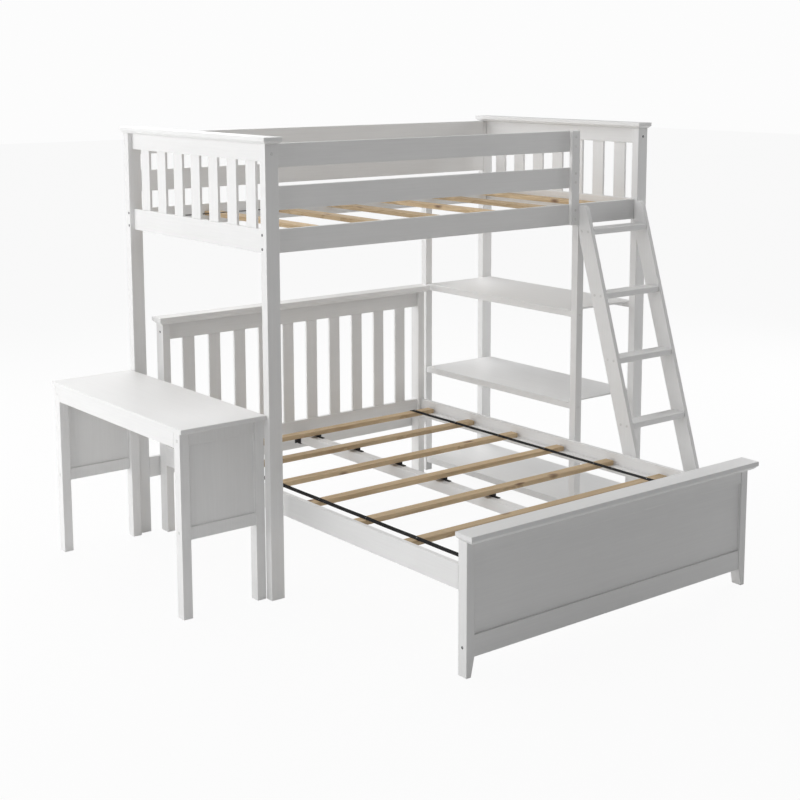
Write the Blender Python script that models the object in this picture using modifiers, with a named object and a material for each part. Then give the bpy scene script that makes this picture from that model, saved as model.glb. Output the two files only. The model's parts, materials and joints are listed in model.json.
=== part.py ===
"""A twin loft bed with a bookcase end and a leaning ladder, a loose desk, and a full bed that stands under it.

Metres, +Z up. Lengths run along X, from the desk end to the bookcase end. The front of the loft faces -Y,
and the full bed comes out of it that way. Positions below are counted from the foot of the loft's near front
post; the top empty then moves everything, so that the world origin is under the middle of the whole set.
"""

import math

import bpy
import bmesh
from mathutils import Vector

# Fits and edges
FIT = 0.0003  # gap between two boards that are fixed to each other
LOOSE = 0.003  # gap between a slat, shelf or unit and what it only lies beside
EDGE = 0.0015  # eased edge of a painted board
LAP = 0.008  # how far a slat, panel or strap is let into the piece that carries it

# Boards that the whole set shares
BOARD = 0.019  # thickness
RAIL = 0.089  # height of a rail board
SPINDLE_WIDTH = 0.0686  # upright slats of the end panels
SPINDLE_THICK = 0.011  # these and the headboard's

# Loft frame
POST_X = 0.058
POST_Y = 0.038
LOFT_WIDTH = 1.091
CLEAR_HEIGHT = 1.337  # floor to the underside of the loft's side rails
LOWER_GUARD_GAP = 0.072
UPPER_GUARD_GAP = 0.069
END_TOP_RAIL = 0.068
END_SPINDLES = 7
CAP_SLAB = 0.014
CAP_COVE = 0.010
CAP_LIP = 0.0125
GUARD_END_POST = 0.046
STRETCHER_HEIGHT = 0.245

# Loft slats, which lie on cleats inside the side rails and are held together by two tapes
LOFT_CLEAT = 0.022
LOFT_CLEAT_TOP = 0.0395  # above the underside of the side rail
LOFT_SLATS = 7
LOFT_SLAT_WIDTH = 0.066
LOFT_SLAT_THICK = 0.0185
LOFT_SLAT_END_GAP = 0.006  # end panel to the first or last slat
TAPE_WIDTH = 0.028
TAPE_STANDS = 0.0012
LOFT_TAPE_INSET = 0.110

# Bookcase end
BOOKCASE_DEPTH = 0.430  # near face of its own posts to the far face of the loft's far posts
BOOKCASE_POST = 0.0375
SHELF_PANEL = 0.007
SHELF_RAIL = 0.031
SHELF_TOPS = (0.0735, 0.5365, 0.9535)
SHELF_SETBACK = 0.003
SHELF_END_GAP = 0.013  # shelf panels stop this far short of the posts

# Ladder
LADDER_LEAN = math.radians(17.3)  # from plumb
LADDER_BOARD = 0.078
LADDER_THICK = 0.019
LADDER_INSET = 0.004  # near rail from the bookcase post's near face
LADDER_LAP = 0.003  # how far the far rail laps the front of the far post
LADDER_REACH = 0.068  # front edge ahead of the posts, level with the underside of the side rail
LADDER_RISE = 0.085  # how far the rails stand above the underside of the side rail
LADDER_TOP_FRONT = 0.026  # radius of the rails' front top corner
LADDER_TOP_BACK = 0.010
TOP_STEPS = 6  # facets of each rounded corner at the top of the ladder
LADDER_TREADS = 5
TREAD_THICK = 0.026
TREAD_DEPTH = 0.074
FIRST_TREAD = 0.2335
LAST_TREAD_DROP = 0.014  # last tread's top below the underside of the side rail

# Full bed
NEAR_GAP = 0.050  # loft's near posts to the full bed
FAR_GAP = 0.062  # full bed to the bookcase posts
BED_WIDTH = 1.445
BED_LENGTH = 1.966  # headboard to footboard, inside
BED_LEG_X = 0.035
HEAD_LEG_Y = 0.056
HEAD_HEIGHT = 0.956
HEAD_TOP_RAIL = 0.071
HEAD_SPINDLES = 10
HEAD_SPINDLE_WIDTH = 0.058
HEAD_SETBACK = 0.014  # headboard's rails behind the front of its legs
FOOT_LEG_Y = 0.044
FOOT_HEIGHT = 0.506
FOOT_TOE = 0.0205  # width of the foot's tapered end
FOOT_PANEL_BOTTOM = 0.068
FOOT_BOTTOM_RAIL = 0.0775
FOOT_TOP_RAIL = 0.058
FOOT_PANEL_RECESS = 0.007
BED_CAP_SLAB = 0.016
BED_CAP_COVE = 0.014
HEAD_CAP_LIP = 0.021
FOOT_CAP_LIP = 0.015  # past the ends of the footboard
FOOT_CAP_FRONT = 0.041  # past the front of the footboard
BED_RAIL_BOTTOM = 0.301
BED_SLAT_TOP = 0.362
BED_SLAT_WIDTH = 0.046
BED_SLAT_THICK = 0.020
BED_SLATS = 7
BED_SLAT_FIRST = 0.069  # headboard to the first slat
BED_SLAT_PITCH = 0.302
BED_SLAT_END_GAP = 0.012
BED_CLEAT_X = 0.025
BED_CLEAT_Z = 0.028
BEAM_X = 0.042
BEAM_Z = 0.044
BEAM_DROP = 0.012  # top of the beam below the slats, which bear on it through pads

# Desk
DESK_GAP = 0.0015  # desk legs to the loft's near posts
DESK_TOP_GAP = 0.0005  # desk top to the loft's near posts
DESK_OFFSET = 0.038  # desk's front legs behind the front of the loft's posts
DESK_DEPTH = 0.361
DESK_LENGTH = 1.035
DESK_HEIGHT = 0.7267
DESK_TOP = 0.018
DESK_LEG_X = 0.039
DESK_LEG_Y = 0.043
DESK_LIP_X = 0.005
DESK_LIP_Y = 0.019
DESK_APRON = 0.061
DESK_PANEL_BOTTOM = 0.301
DESK_PANEL_RAIL = 0.049
DESK_PANEL_RECESS = 0.006
DESK_SETBACK = 0.003  # panels and aprons behind the faces of the legs

# What follows from them
RAIL_TOP = CLEAR_HEIGHT + RAIL
LOWER_GUARD = RAIL_TOP + LOWER_GUARD_GAP
UPPER_GUARD = LOWER_GUARD + RAIL + UPPER_GUARD_GAP
GUARD_TOP = UPPER_GUARD + RAIL
CAP_UNDER = GUARD_TOP + 0.001
LOFT_TOP = CAP_UNDER + CAP_COVE + CAP_SLAB
RAIL_INSET = POST_Y - BOARD  # the rails' inner faces are flush with the posts'
END_INSET = (POST_X - BOARD) / 2
BED_NEAR = POST_X + NEAR_GAP
BED_FAR = BED_NEAR + BED_WIDTH
BOOKCASE_NEAR = BED_FAR + FAR_GAP
LOFT_LENGTH = BOOKCASE_NEAR + BOOKCASE_DEPTH
BACK_POST = LOFT_WIDTH - POST_Y
FAR_POST = LOFT_LENGTH - POST_X
HEAD_BACK = BACK_POST - LOOSE
HEAD_FRONT = HEAD_BACK - HEAD_LEG_Y
FOOT_BACK = HEAD_FRONT - BED_LENGTH
FOOT_FRONT = FOOT_BACK - FOOT_LEG_Y
BED_RAIL_TOP = BED_RAIL_BOTTOM + RAIL
DESK_NEAR = -DESK_GAP - DESK_DEPTH
DESK_BACK = DESK_OFFSET + DESK_LENGTH
LADDER_NEAR = BOOKCASE_NEAR + LADDER_INSET
LADDER_FAR = FAR_POST + LADDER_LAP
LADDER_RUN = LADDER_BOARD / math.cos(LADDER_LEAN)  # level distance across a leaning board

PAINT = ("white_paint", (0.85, 0.85, 0.84), 0.42)
PINE = ("slat_pine", (0.66, 0.50, 0.31), 0.62)


def clear_scene():
    for old in list(bpy.data.objects):
        bpy.data.objects.remove(old, do_unlink=True)


def new_collection(name):
    made = bpy.data.collections.new(name)
    bpy.context.scene.collection.children.link(made)
    return made


def material(name, colour, roughness):
    made = bpy.data.materials.get(name)
    if made:
        return made
    made = bpy.data.materials.new(name)
    made.use_nodes = True
    shader = made.node_tree.nodes["Principled BSDF"]
    shader.inputs["Base Color"].default_value = (*colour, 1.0)
    shader.inputs["Roughness"].default_value = roughness
    shader.inputs["Metallic"].default_value = 0.0
    return made


def empty(name, place=(0, 0, 0), parent=None):
    made = bpy.data.objects.new(name, None)
    made.empty_display_size = 0.1
    made.location = place
    made.parent = parent
    pieces.objects.link(made)
    return made


def ease(obj, width=EDGE):
    """Eases every sharp edge of a board."""
    bevel = obj.modifiers.new("eased_edges", "BEVEL")
    bevel.width = width
    bevel.segments = 2
    bevel.limit_method = "ANGLE"
    bevel.angle_limit = math.radians(40)
    bevel.harden_normals = False


def put(name, bm, place, unit, finish):
    mesh = bpy.data.meshes.new(name)
    bm.to_mesh(mesh)
    bm.free()
    obj = bpy.data.objects.new(name, mesh)
    obj.location = place
    obj.parent = unit
    obj.data.materials.append(material(*finish))
    pieces.objects.link(obj)
    return obj


def board(name, low, high, unit, finish=PAINT, edge=EDGE):
    """A board between two opposite corners."""
    low, high = Vector(low), Vector(high)
    bm = bmesh.new()
    bmesh.ops.create_cube(bm, size=1.0)
    bmesh.ops.scale(bm, vec=high - low, verts=bm.verts)
    obj = put(name, bm, (low + high) / 2, unit, finish)
    if edge:
        ease(obj, edge)
    return obj


def coved_board(name, low, high, cove, unit):
    """A cap board whose overhang is coved underneath, all round."""
    low, high = Vector(low), Vector(high)
    bm = bmesh.new()
    bmesh.ops.create_cube(bm, size=1.0)
    bmesh.ops.scale(bm, vec=high - low, verts=bm.verts)
    under = [edge for edge in bm.edges if all(vert.co.z < 0 for vert in edge.verts)]
    bmesh.ops.bevel(bm, geom=under, offset=cove, segments=4, profile=0.28, affect="EDGES")
    obj = put(name, bm, (low + high) / 2, unit, PAINT)
    ease(obj, EDGE / 1.5)
    return obj


def hide(helper):
    helper.hide_render = True
    helper.display_type = "WIRE"
    pieces.objects.unlink(helper)
    helpers.objects.link(helper)


def combine(obj, operation, *others):
    """Joins other shapes to a board, or cuts them out of it."""
    for other in others:
        step = obj.modifiers.new(other.name, "BOOLEAN")
        step.operation = operation
        step.solver = "EXACT"
        step.object = other
        hide(other)


def repeat(obj, count, step):
    array = obj.modifiers.new("repeat", "ARRAY")
    array.count = count
    array.use_relative_offset = False
    array.use_constant_offset = True
    array.constant_offset_displace = step


def spread(first, last, width, count):
    """Low edge of the first of several equal slats, and their pitch, with equal gaps between and beside them."""
    gap = (last - first - count * width) / (count + 1)
    return first + gap, width + gap


def build_posts():
    for place, y in (("front", 0.0), ("back", BACK_POST)):
        for end, x in (("near", 0.0), ("far", FAR_POST)):
            board(
                f"loft_post_{end}_{place}",
                (x, y, 0.0),
                (x + POST_X, y + POST_Y, CAP_UNDER - FIT),
                loft,
            )


def build_end(end, x):
    """One end of the loft: two rails and their upright slats in one panel, and the cap over both posts."""
    inner, outer = POST_Y + FIT, BACK_POST - FIT
    panel = board(
        f"{end}_end_panel",
        (x + END_INSET, inner, CLEAR_HEIGHT),
        (x + END_INSET + BOARD, outer, RAIL_TOP),
        loft,
    )
    top_rail_under = CAP_UNDER - FIT - END_TOP_RAIL
    top_rail = board(
        f"{end}_end_top_rail",
        (x + END_INSET, inner, top_rail_under),
        (x + END_INSET + BOARD, outer, CAP_UNDER - FIT),
        loft,
    )
    first, pitch = spread(POST_Y, BACK_POST, SPINDLE_WIDTH, END_SPINDLES)
    slat_near = x + (POST_X - SPINDLE_THICK) / 2
    slats = board(
        f"{end}_end_slats",
        (slat_near, first, RAIL_TOP - LAP),
        (slat_near + SPINDLE_THICK, first + SPINDLE_WIDTH, top_rail_under + LAP),
        loft,
    )
    repeat(slats, END_SPINDLES, (0, pitch, 0))
    combine(panel, "UNION", slats, top_rail)
    coved_board(
        f"{end}_end_cap",
        (x - CAP_LIP, -CAP_LIP, CAP_UNDER),
        (x + POST_X + CAP_LIP, LOFT_WIDTH + CAP_LIP, LOFT_TOP),
        CAP_COVE,
        loft,
    )


def build_side_rails():
    """Side rails and guard rails between the posts, and the cleats that carry the slats."""
    front = (RAIL_INSET, POST_Y)
    back = (BACK_POST, BACK_POST + BOARD)
    ends = (POST_X + FIT, FAR_POST - FIT)
    guard_end = BOOKCASE_NEAR + LADDER_INSET
    for side, (y0, y1) in (("front", front), ("back", back)):
        board(f"loft_side_rail_{side}", (ends[0], y0, CLEAR_HEIGHT), (ends[1], y1, RAIL_TOP), loft)
        guard_far = guard_end if side == "front" else ends[1]
        for level, z in (("lower", LOWER_GUARD), ("upper", UPPER_GUARD)):
            board(f"guard_rail_{side}_{level}", (ends[0], y0, z), (guard_far, y1, z + RAIL), loft)
        cleat_y = y1 + FIT if side == "front" else y0 - FIT - LOFT_CLEAT
        cleat_top = CLEAR_HEIGHT + LOFT_CLEAT_TOP
        board(
            f"loft_slat_cleat_{side}",
            (ends[0] + LOOSE, cleat_y, cleat_top - LOFT_CLEAT),
            (ends[1] - LOOSE, cleat_y + LOFT_CLEAT, cleat_top),
            loft,
        )
    board(
        "guard_rail_end_post",
        (guard_end - GUARD_END_POST, 0.0, CLEAR_HEIGHT),
        (guard_end, RAIL_INSET - FIT, GUARD_TOP),
        loft,
    )
    board(
        "back_stretcher",
        (ends[0], BACK_POST, STRETCHER_HEIGHT),
        (BOOKCASE_NEAR - FIT, BACK_POST + BOARD, STRETCHER_HEIGHT + RAIL),
        loft,
    )


def build_loft_slats():
    """Loose slats on the cleats, made one roll by two tapes let into their tops."""
    low = CLEAR_HEIGHT + LOFT_CLEAT_TOP + FIT
    inner, outer = POST_Y + LOOSE, BACK_POST - LOOSE
    first = END_INSET + BOARD + LOFT_SLAT_END_GAP
    last = FAR_POST + END_INSET - LOFT_SLAT_END_GAP
    pitch = (last - first - LOFT_SLAT_WIDTH) / (LOFT_SLATS - 1)
    roll = board(
        "loft_slat_roll",
        (first, inner, low),
        (first + LOFT_SLAT_WIDTH, outer, low + LOFT_SLAT_THICK),
        loft,
        PINE,
    )
    repeat(roll, LOFT_SLATS, (pitch, 0, 0))
    tapes = []
    for side, y in (("front", inner + LOFT_TAPE_INSET), ("back", outer - LOFT_TAPE_INSET)):
        tapes.append(
            board(
                f"loft_tape_{side}",
                (first + LAP, y - TAPE_WIDTH / 2, low + LOFT_SLAT_THICK - TAPE_STANDS),
                (last - LAP, y + TAPE_WIDTH / 2, low + LOFT_SLAT_THICK + TAPE_STANDS),
                loft,
                PINE,
                edge=0,
            )
        )
    combine(roll, "UNION", *tapes)


def build_bookcase():
    for side, y in (("front", 0.0), ("back", LOFT_WIDTH - BOOKCASE_POST)):
        board(
            f"bookcase_post_{side}",
            (BOOKCASE_NEAR, y, 0.0),
            (BOOKCASE_NEAR + BOOKCASE_POST, y + BOOKCASE_POST, CLEAR_HEIGHT - FIT),
            loft,
        )
    far_rail = FAR_POST + END_INSET
    near_rail = BOOKCASE_NEAR + SHELF_SETBACK
    for name, top in zip(("bottom", "middle", "top"), SHELF_TOPS):
        shelf = board(
            f"shelf_{name}",
            (near_rail - EDGE, POST_Y + SHELF_END_GAP, top - SHELF_PANEL),
            (far_rail + BOARD + EDGE, BACK_POST - SHELF_END_GAP, top),
            loft,
        )
        rails = []
        for place, x in (("near", near_rail), ("far", far_rail)):
            rails.append(
                board(
                    f"shelf_{name}_{place}_rail",
                    (x, POST_Y + FIT, top - SHELF_RAIL),
                    (x + BOARD, BACK_POST - FIT, top - SHELF_PANEL / 2),
                    loft,
                )
            )
        combine(shelf, "UNION", *rails)


def ladder_front(z):
    """Y of the ladder's front edge at a height."""
    return (z - CLEAR_HEIGHT) * math.tan(LADDER_LEAN) - LADDER_REACH


def ladder_outline():
    """One ladder rail seen from its side: level foot, plumb face that bears on the posts, rounded top."""
    top = CLEAR_HEIGHT + LADDER_RISE
    back = -FIT
    plumb_from = CLEAR_HEIGHT + (LADDER_REACH - LADDER_RUN + back) / math.tan(LADDER_LEAN)
    foot = ladder_front(0)
    points = [(foot, 0.0), (foot + LADDER_RUN, 0.0), (back, plumb_from)]
    front_centre = ladder_front(top - LADDER_TOP_FRONT) + LADDER_TOP_FRONT / math.cos(LADDER_LEAN)
    corners = (
        (back - LADDER_TOP_BACK, LADDER_TOP_BACK, 0.0, math.pi / 2),
        (front_centre, LADDER_TOP_FRONT, math.pi / 2, math.pi - LADDER_LEAN),
    )
    for centre, radius, begin, end in corners:
        for i in range(TOP_STEPS + 1):
            turn = begin + (end - begin) * i / TOP_STEPS
            points.append((centre + radius * math.cos(turn), top - radius + radius * math.sin(turn)))
    return points


def build_ladder():
    points = ladder_outline()
    for side, x in (("left", LADDER_NEAR), ("right", LADDER_FAR - LADDER_THICK)):
        name = f"ladder_rail_{side}"
        outline = bpy.data.curves.new(name, "CURVE")
        outline.dimensions = "2D"
        outline.fill_mode = "BOTH"
        outline.extrude = LADDER_THICK / 2
        spline = outline.splines.new("POLY")
        spline.points.add(len(points) - 1)
        for point, (y, z) in zip(spline.points, points):
            point.co = (y, z, 0.0, 1.0)
        spline.use_cyclic_u = True
        outline.materials.append(material(*PAINT))
        rail = bpy.data.objects.new(name, outline)
        rail.rotation_euler = (math.pi / 2, 0, math.pi / 2)
        rail.location = (x + LADDER_THICK / 2, 0, 0)
        rail.parent = loft
        pieces.objects.link(rail)
        weld = rail.modifiers.new("closed_caps", "WELD")
        weld.merge_threshold = 0.0001
        ease(rail)
    last = CLEAR_HEIGHT - LAST_TREAD_DROP
    rise = (last - FIRST_TREAD) / (LADDER_TREADS - 1)
    inner = LADDER_NEAR + LADDER_THICK + FIT
    for i in range(LADDER_TREADS):
        top = FIRST_TREAD + i * rise
        middle_front = ladder_front(top - TREAD_THICK / 2) + (LADDER_RUN - TREAD_DEPTH) / 2
        front = min(middle_front, -FIT - TREAD_DEPTH)
        board(
            f"ladder_tread_{i + 1}",
            (inner, front, top - TREAD_THICK),
            (LADDER_FAR - LADDER_THICK - FIT, front + TREAD_DEPTH, top),
            loft,
            edge=0.003,
        )


def build_headboard():
    under = HEAD_HEIGHT - BED_CAP_SLAB - BED_CAP_COVE
    for side, x in (("left", BED_NEAR), ("right", BED_FAR - BED_LEG_X)):
        board(
            f"headboard_post_{side}",
            (x, HEAD_FRONT, 0.0),
            (x + BED_LEG_X, HEAD_BACK, under - FIT),
            bed,
        )
    near, far = BED_NEAR + BED_LEG_X, BED_FAR - BED_LEG_X
    y = HEAD_FRONT + HEAD_SETBACK
    panel = board(
        "headboard_panel",
        (near + FIT, y, BED_RAIL_BOTTOM),
        (far - FIT, y + BOARD, BED_RAIL_TOP),
        bed,
    )
    top_rail_under = under - FIT - HEAD_TOP_RAIL
    top_rail = board(
        "headboard_top_rail",
        (near + FIT, y, top_rail_under),
        (far - FIT, y + BOARD, under - FIT),
        bed,
    )
    first, pitch = spread(near, far, HEAD_SPINDLE_WIDTH, HEAD_SPINDLES)
    slat_y = y + (BOARD - SPINDLE_THICK) / 2
    slats = board(
        "headboard_slats",
        (first, slat_y, BED_RAIL_TOP - LAP),
        (first + HEAD_SPINDLE_WIDTH, slat_y + SPINDLE_THICK, top_rail_under + LAP),
        bed,
    )
    repeat(slats, HEAD_SPINDLES, (pitch, 0, 0))
    combine(panel, "UNION", slats, top_rail)
    coved_board(
        "headboard_cap",
        (BED_NEAR - HEAD_CAP_LIP, HEAD_FRONT - HEAD_CAP_LIP, under),
        (BED_FAR + HEAD_CAP_LIP, HEAD_BACK, HEAD_HEIGHT),
        BED_CAP_COVE,
        bed,
    )


def tapered_leg(name, x, inward):
    """A footboard leg whose inner face tapers to the toe below the panel."""
    low = Vector((x, FOOT_FRONT, 0.0))
    high = Vector((x + BED_LEG_X, FOOT_BACK, FOOT_HEIGHT - BED_CAP_SLAB - BED_CAP_COVE - FIT))
    bm = bmesh.new()
    bmesh.ops.create_cube(bm, size=1.0)
    bmesh.ops.scale(bm, vec=high - low, verts=bm.verts)
    centre = (low + high) / 2
    bmesh.ops.bisect_plane(
        bm,
        geom=bm.verts[:] + bm.edges[:] + bm.faces[:],
        plane_co=(0, 0, FOOT_PANEL_BOTTOM - centre.z),
        plane_no=(0, 0, 1),
    )
    for vert in bm.verts:
        if vert.co.z + centre.z < FOOT_PANEL_BOTTOM / 2 and vert.co.x * inward > 0:
            vert.co.x -= inward * (BED_LEG_X - FOOT_TOE)
    ease(put(name, bm, centre, bed, PAINT))


def recessed_panel(name, low, high, axis, rails, recess, unit):
    """A panel with a raised rail along its top and its foot, recessed on both faces between them."""
    panel = board(name, low, high, unit)
    low, high = Vector(low), Vector(high)
    foot_rail, top_rail = rails
    cutters = []
    for side in (-1, 1):
        cut_low = Vector((low.x + LOOSE, low.y + LOOSE, low.z + foot_rail))
        cut_high = Vector((high.x - LOOSE, high.y - LOOSE, high.z - top_rail))
        if side < 0:
            cut_low[axis], cut_high[axis] = low[axis] - recess, low[axis] + recess
        else:
            cut_low[axis], cut_high[axis] = high[axis] - recess, high[axis] + recess
        cutters.append(board(f"{name}_recess_{'front' if side < 0 else 'back'}", cut_low, cut_high, unit, edge=0))
    combine(panel, "DIFFERENCE", *cutters)
    return panel


def build_footboard():
    tapered_leg("footboard_post_left", BED_NEAR, 1)
    tapered_leg("footboard_post_right", BED_FAR - BED_LEG_X, -1)
    under = FOOT_HEIGHT - BED_CAP_SLAB - BED_CAP_COVE
    setback = (FOOT_LEG_Y - BOARD) / 2
    recessed_panel(
        "footboard_panel",
        (BED_NEAR + BED_LEG_X + FIT, FOOT_FRONT + LOOSE, FOOT_PANEL_BOTTOM),
        (BED_FAR - BED_LEG_X - FIT, FOOT_BACK - setback, under - FIT),
        1,
        (FOOT_BOTTOM_RAIL, FOOT_TOP_RAIL),
        FOOT_PANEL_RECESS,
        bed,
    )
    coved_board(
        "footboard_cap",
        (BED_NEAR - FOOT_CAP_LIP, FOOT_FRONT - FOOT_CAP_FRONT, under),
        (BED_FAR + FOOT_CAP_LIP, FOOT_BACK, FOOT_HEIGHT),
        BED_CAP_COVE,
        bed,
    )


def build_bed_frame():
    """Side rails with their cleats, the beam under the middle, and the loose slats."""
    slat_under = BED_SLAT_TOP - BED_SLAT_THICK
    ends = (FOOT_BACK + FIT, HEAD_FRONT - FIT)
    for side, x, inward in (("left", BED_NEAR, 1), ("right", BED_FAR - BOARD, -1)):
        board(
            f"full_side_rail_{side}",
            (x, ends[0], BED_RAIL_BOTTOM),
            (x + BOARD, ends[1], BED_RAIL_TOP),
            bed,
        )
        cleat = x + BOARD + FIT if inward > 0 else x - FIT - BED_CLEAT_X
        board(
            f"full_slat_cleat_{side}",
            (cleat, ends[0] + LOOSE, slat_under - BED_CLEAT_Z),
            (cleat + BED_CLEAT_X, ends[1] - LOOSE, slat_under),
            bed,
        )
    middle = (BED_NEAR + BED_FAR) / 2
    board(
        "center_beam",
        (middle - BEAM_X / 2, FOOT_BACK + FIT, slat_under - BEAM_DROP - BEAM_Z),
        (middle + BEAM_X / 2, HEAD_FRONT + HEAD_SETBACK - FIT, slat_under - BEAM_DROP),
        bed,
    )
    for i in range(BED_SLATS):
        back = HEAD_FRONT - BED_SLAT_FIRST - i * BED_SLAT_PITCH
        board(
            f"full_slat_{i + 1}",
            (BED_NEAR + BOARD + BED_SLAT_END_GAP, back - BED_SLAT_WIDTH, slat_under + FIT),
            (BED_FAR - BOARD - BED_SLAT_END_GAP, back, BED_SLAT_TOP),
            bed,
            PINE,
        )


def build_desk():
    under = DESK_HEIGHT - DESK_TOP
    far = DESK_NEAR + DESK_DEPTH
    for place, y in (("front", DESK_OFFSET), ("back", DESK_BACK - DESK_LEG_Y)):
        for side, x in (("left", DESK_NEAR), ("right", far - DESK_LEG_X)):
            board(
                f"desk_leg_{side}_{place}",
                (x, y, 0.0),
                (x + DESK_LEG_X, y + DESK_LEG_Y, under - FIT),
                desk,
            )
        outward = DESK_SETBACK if place == "front" else DESK_LEG_Y - DESK_SETBACK - BOARD
        recessed_panel(
            f"desk_end_panel_{place}",
            (DESK_NEAR + DESK_LEG_X + FIT, y + outward, DESK_PANEL_BOTTOM),
            (far - DESK_LEG_X - FIT, y + outward + BOARD, under - FIT),
            1,
            (DESK_PANEL_RAIL, DESK_PANEL_RAIL),
            DESK_PANEL_RECESS,
            desk,
        )
    for side, x in (("left", DESK_NEAR), ("right", far - BOARD)):
        board(
            f"desk_apron_{side}",
            (x, DESK_OFFSET + DESK_LEG_Y + FIT, under - DESK_APRON),
            (x + BOARD, DESK_BACK - DESK_LEG_Y - FIT, under - FIT),
            desk,
        )
    board(
        "desk_top",
        (DESK_NEAR - DESK_LIP_X, DESK_OFFSET - DESK_LIP_Y, under),
        (-DESK_TOP_GAP, DESK_BACK + DESK_LIP_Y, DESK_HEIGHT),
        desk,
        edge=0.002,
    )


clear_scene()
pieces = new_collection("loft_bed_with_desk")
helpers = new_collection("joined_and_cut_shapes")
near_most = DESK_NEAR - DESK_LIP_X
far_most = LOFT_LENGTH + CAP_LIP
front_most = FOOT_FRONT - FOOT_CAP_FRONT
back_most = max(LOFT_WIDTH + CAP_LIP, DESK_BACK + DESK_LIP_Y)
whole = empty("whole_set", (-(near_most + far_most) / 2, -(front_most + back_most) / 2, 0))
loft = empty("loft_unit", parent=whole)
bed = empty("full_bed_unit", parent=whole)
desk = empty("desk_unit", parent=whole)

build_posts()
build_end("near", 0.0)
build_end("far", FAR_POST)
build_side_rails()
build_loft_slats()
build_bookcase()
build_ladder()
build_headboard()
build_footboard()
build_bed_frame()
build_desk()
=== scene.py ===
import json
import math

import bmesh
import bpy
from mathutils import Matrix, Vector

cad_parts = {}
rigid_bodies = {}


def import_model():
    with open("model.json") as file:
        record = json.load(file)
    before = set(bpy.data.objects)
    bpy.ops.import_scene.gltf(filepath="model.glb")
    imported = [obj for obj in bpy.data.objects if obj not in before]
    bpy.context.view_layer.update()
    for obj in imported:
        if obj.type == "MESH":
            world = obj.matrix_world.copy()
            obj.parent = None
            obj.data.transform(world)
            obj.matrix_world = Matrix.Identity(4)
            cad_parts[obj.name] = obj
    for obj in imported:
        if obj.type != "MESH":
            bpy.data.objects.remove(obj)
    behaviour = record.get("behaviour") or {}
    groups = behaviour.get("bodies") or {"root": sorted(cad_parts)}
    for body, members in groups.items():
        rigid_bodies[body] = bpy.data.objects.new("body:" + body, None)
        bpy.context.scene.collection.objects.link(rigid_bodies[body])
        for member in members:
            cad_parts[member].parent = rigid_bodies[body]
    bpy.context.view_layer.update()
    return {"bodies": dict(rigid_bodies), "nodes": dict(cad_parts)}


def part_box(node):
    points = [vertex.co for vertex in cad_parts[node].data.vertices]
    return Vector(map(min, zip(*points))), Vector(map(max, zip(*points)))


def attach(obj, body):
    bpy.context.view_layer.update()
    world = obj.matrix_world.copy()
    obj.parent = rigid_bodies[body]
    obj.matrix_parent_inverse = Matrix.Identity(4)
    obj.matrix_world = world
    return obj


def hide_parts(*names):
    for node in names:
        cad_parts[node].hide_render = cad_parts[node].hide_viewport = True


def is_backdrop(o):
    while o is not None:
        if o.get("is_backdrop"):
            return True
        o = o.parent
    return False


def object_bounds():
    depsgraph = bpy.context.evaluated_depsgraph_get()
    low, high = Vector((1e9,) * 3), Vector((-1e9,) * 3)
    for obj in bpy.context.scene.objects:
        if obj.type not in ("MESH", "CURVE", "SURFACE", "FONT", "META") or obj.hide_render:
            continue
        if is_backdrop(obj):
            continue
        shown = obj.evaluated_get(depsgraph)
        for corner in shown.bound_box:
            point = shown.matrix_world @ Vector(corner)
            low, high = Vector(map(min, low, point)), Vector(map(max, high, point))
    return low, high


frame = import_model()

scene = bpy.context.scene
for leftover in list(bpy.data.objects):
    if leftover not in frame["nodes"].values() and leftover not in frame["bodies"].values():
        bpy.data.objects.remove(leftover)
print("frame loaded:", len(frame["nodes"]), "nodes")


cameraPlace = {
    "location": (-3.8072, -4.6064, 2.0533),
    "turn": -0.6805,  # about Z, from looking along +Y
    "tilt": -0.1534,  # above the horizon
    "lens": 66.69,
    "shift": (-0.03, -0.14),
}
lensData = bpy.data.cameras.new("camera")
lensData.lens = cameraPlace["lens"]
lensData.sensor_width = 36.0
lensData.shift_x, lensData.shift_y = cameraPlace["shift"]
camera = bpy.data.objects.new("camera", lensData)
camera.location = cameraPlace["location"]
camera.rotation_euler = (math.pi / 2 + cameraPlace["tilt"], 0.0, cameraPlace["turn"])
scene.collection.objects.link(camera)
scene.camera = camera
scene.view_settings.view_transform = "Standard"


def feed(tree, slot, value):
    if isinstance(value, Wire):
        tree.links.new(value.socket, slot)
    else:
        slot.default_value = value


def pick(slots, key):
    if isinstance(key, int):
        return slots[key]
    return next(slot for slot in slots if slot.name == key and slot.enabled)


class Wire:
    # a socket that takes part in plain sums
    def __init__(self, tree, socket):
        self.tree = tree
        self.socket = socket

    def sum(self, operation, other, flipped=False):
        made = self.tree.nodes.new("ShaderNodeMath")
        made.operation = operation
        first, second = (other, self) if flipped else (self, other)
        feed(self.tree, made.inputs[0], first)
        feed(self.tree, made.inputs[1], second)
        return Wire(self.tree, made.outputs[0])

    def __add__(self, other):
        return self.sum("ADD", other)

    def __sub__(self, other):
        return self.sum("SUBTRACT", other)

    def __rsub__(self, other):
        return self.sum("SUBTRACT", other, True)

    def __mul__(self, other):
        return self.sum("MULTIPLY", other)

    def __gt__(self, other):
        return self.sum("GREATER_THAN", other)


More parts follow.
